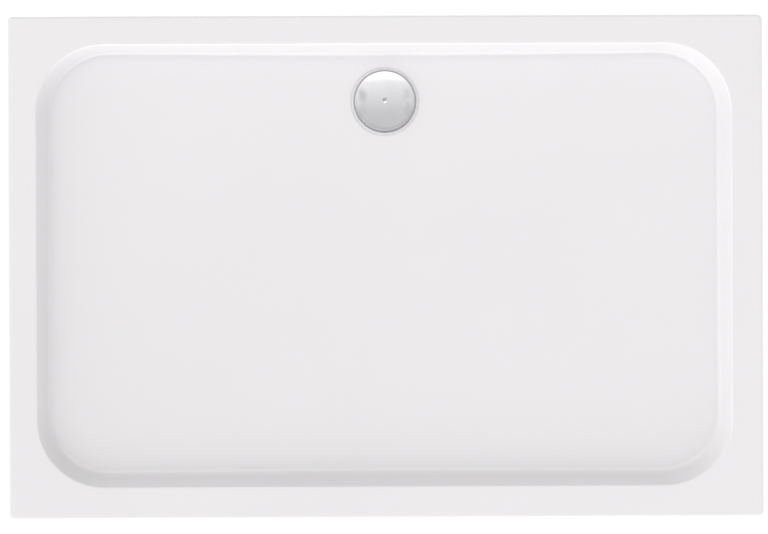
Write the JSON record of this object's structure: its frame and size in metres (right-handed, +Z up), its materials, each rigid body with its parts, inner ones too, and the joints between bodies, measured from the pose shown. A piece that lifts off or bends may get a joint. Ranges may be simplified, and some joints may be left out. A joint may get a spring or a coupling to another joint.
{
  "type": "shower tray",
  "caption": "Rectangular white acrylic shower tray with a low rim, a basin that falls to a domed waste cover near the back edge, levelling feet and a trap.",
  "frame": {"origin": "on the floor of the room, under the middle of the tray", "axes": "+Z up, +X along the long side, +Y towards the side that has the waste (the wall side)"},
  "size_m": [1.2, 0.8, 0.16],
  "materials": {
    "acrylic": "high-gloss white sanitary acrylic",
    "laminate": "rough glass-fibre laminate, translucent off-white",
    "resin": "cast filler resin, matt",
    "board": "raw chipboard",
    "galvanised": "hot-dip galvanised sheet steel with a faint spangle",
    "zinc": "bright zinc-plated steel",
    "stainless": "brushed stainless steel",
    "chrome": "polished chrome",
    "grey_plastic": "injection-moulded mid-grey plastic",
    "black_plastic": "moulded black glass-filled plastic",
    "white_plastic": "injection-moulded white polypropylene",
    "rubber": "black rubber"
  },
  "bodies": {
    "tray": {"tray_shell": "acrylic", "laminate_backing": "laminate", "resin_bed": "resin", "base_board": "board", "rail_left": "galvanised", "rail_right": "galvanised", "rail_centre": "galvanised", "rail_screws": "zinc", "rail_nuts": "zinc", "lock_nuts": "zinc", "waste_flange": "stainless", "flange_screws": "stainless", "flange_gasket": "rubber", "body_gasket": "rubber", "trap_body": "white_plastic", "outlet_seal": "rubber", "union_nut": "white_plastic"},
    "cup": {"seal_cup": "grey_plastic"},
    "insert": {"dip_tube": "grey_plastic", "dip_tube_o_ring": "rubber"},
    "strainer": {"hair_strainer": "grey_plastic"},
    "cover": {"drain_cover": "chrome", "cover_hub": "grey_plastic"},
    "outlet": {"outlet_pipe": "white_plastic"},
    "foot_1_pad": {"foot_pad_1": "black_plastic", "foot_sole_1": "rubber"},
    "foot_1_stud": {"foot_stud_1": "zinc"},
    "foot_2_pad": {"foot_pad_2": "black_plastic", "foot_sole_2": "rubber"},
    "foot_2_stud": {"foot_stud_2": "zinc"},
    "foot_3_pad": {"foot_pad_3": "black_plastic", "foot_sole_3": "rubber"},
    "foot_3_stud": {"foot_stud_3": "zinc"},
    "foot_4_pad": {"foot_pad_4": "black_plastic", "foot_sole_4": "rubber"},
    "foot_4_stud": {"foot_stud_4": "zinc"},
    "foot_5_pad": {"foot_pad_5": "black_plastic", "foot_sole_5": "rubber"},
    "foot_5_stud": {"foot_stud_5": "zinc"}
  },
  "joints": [
    {"name": "cup_lift", "type": "slide", "parent": "tray", "child": "cup", "axis": [0, 0, 1], "range_m": [0, 0.13]},
    {"name": "insert_lift", "type": "slide", "parent": "cup", "child": "insert", "axis": [0, 0, 1], "range_m": [0, 0.125]},
    {"name": "strainer_lift", "type": "slide", "parent": "insert", "child": "strainer", "axis": [0, 0, 1], "range_m": [0, 0.06]},
    {"name": "cover_lift", "type": "slide", "parent": "strainer", "child": "cover", "axis": [0, 0, 1], "range_m": [0, 0.06]},
    {"name": "outlet_swing", "type": "hinge", "parent": "tray", "child": "outlet", "pos_m": [0.09, 0.266, 0.056], "axis": [0, 0, 1], "range_deg": [-10, 10]},
    {"name": "foot_1_height", "type": "slide", "parent": "tray", "child": "foot_1_pad", "axis": [0, 0, 1], "range_m": [0, 0.018]},
    {"name": "foot_1_turn", "type": "hinge", "parent": "foot_1_pad", "child": "foot_1_stud", "pos_m": [-0.38, -0.335, 0.03], "axis": [0, 0, 1], "range_deg": [0, 4350]},
    {"name": "foot_2_height", "type": "slide", "parent": "tray", "child": "foot_2_pad", "axis": [0, 0, 1], "range_m": [0, 0.018]},
    {"name": "foot_2_turn", "type": "hinge", "parent": "foot_2_pad", "child": "foot_2_stud", "pos_m": [0.38, -0.335, 0.03], "axis": [0, 0, 1], "range_deg": [0, 4350]},
    {"name": "foot_3_height", "type": "slide", "parent": "tray", "child": "foot_3_pad", "axis": [0, 0, 1], "range_m": [0, 0.018]},
    {"name": "foot_3_turn", "type": "hinge", "parent": "foot_3_pad", "child": "foot_3_stud", "pos_m": [-0.38, 0.335, 0.03], "axis": [0, 0, 1], "range_deg": [0, 4350]},
    {"name": "foot_4_height", "type": "slide", "parent": "tray", "child": "foot_4_pad", "axis": [0, 0, 1], "range_m": [0, 0.018]},
    {"name": "foot_4_turn", "type": "hinge", "parent": "foot_4_pad", "child": "foot_4_stud", "pos_m": [0.38, 0.335, 0.03], "axis": [0, 0, 1], "range_deg": [0, 4350]},
    {"name": "foot_5_height", "type": "slide", "parent": "tray", "child": "foot_5_pad", "axis": [0, 0, 1], "range_m": [0, 0.018]},
    {"name": "foot_5_turn", "type": "hinge", "parent": "foot_5_pad", "child": "foot_5_stud", "pos_m": [0, -0.08, 0.03], "axis": [0, 0, 1], "range_deg": [0, 4350]}
  ],
  "couplings": [
    {"joint": "foot_1_turn", "follows": "foot_1_height", "rad_per_m": 4188.8},
    {"joint": "foot_2_turn", "follows": "foot_2_height", "rad_per_m": 4188.8},
    {"joint": "foot_3_turn", "follows": "foot_3_height", "rad_per_m": 4188.8},
    {"joint": "foot_4_turn", "follows": "foot_4_height", "rad_per_m": 4188.8},
    {"joint": "foot_5_turn", "follows": "foot_5_height", "rad_per_m": 4188.8}
  ]
}
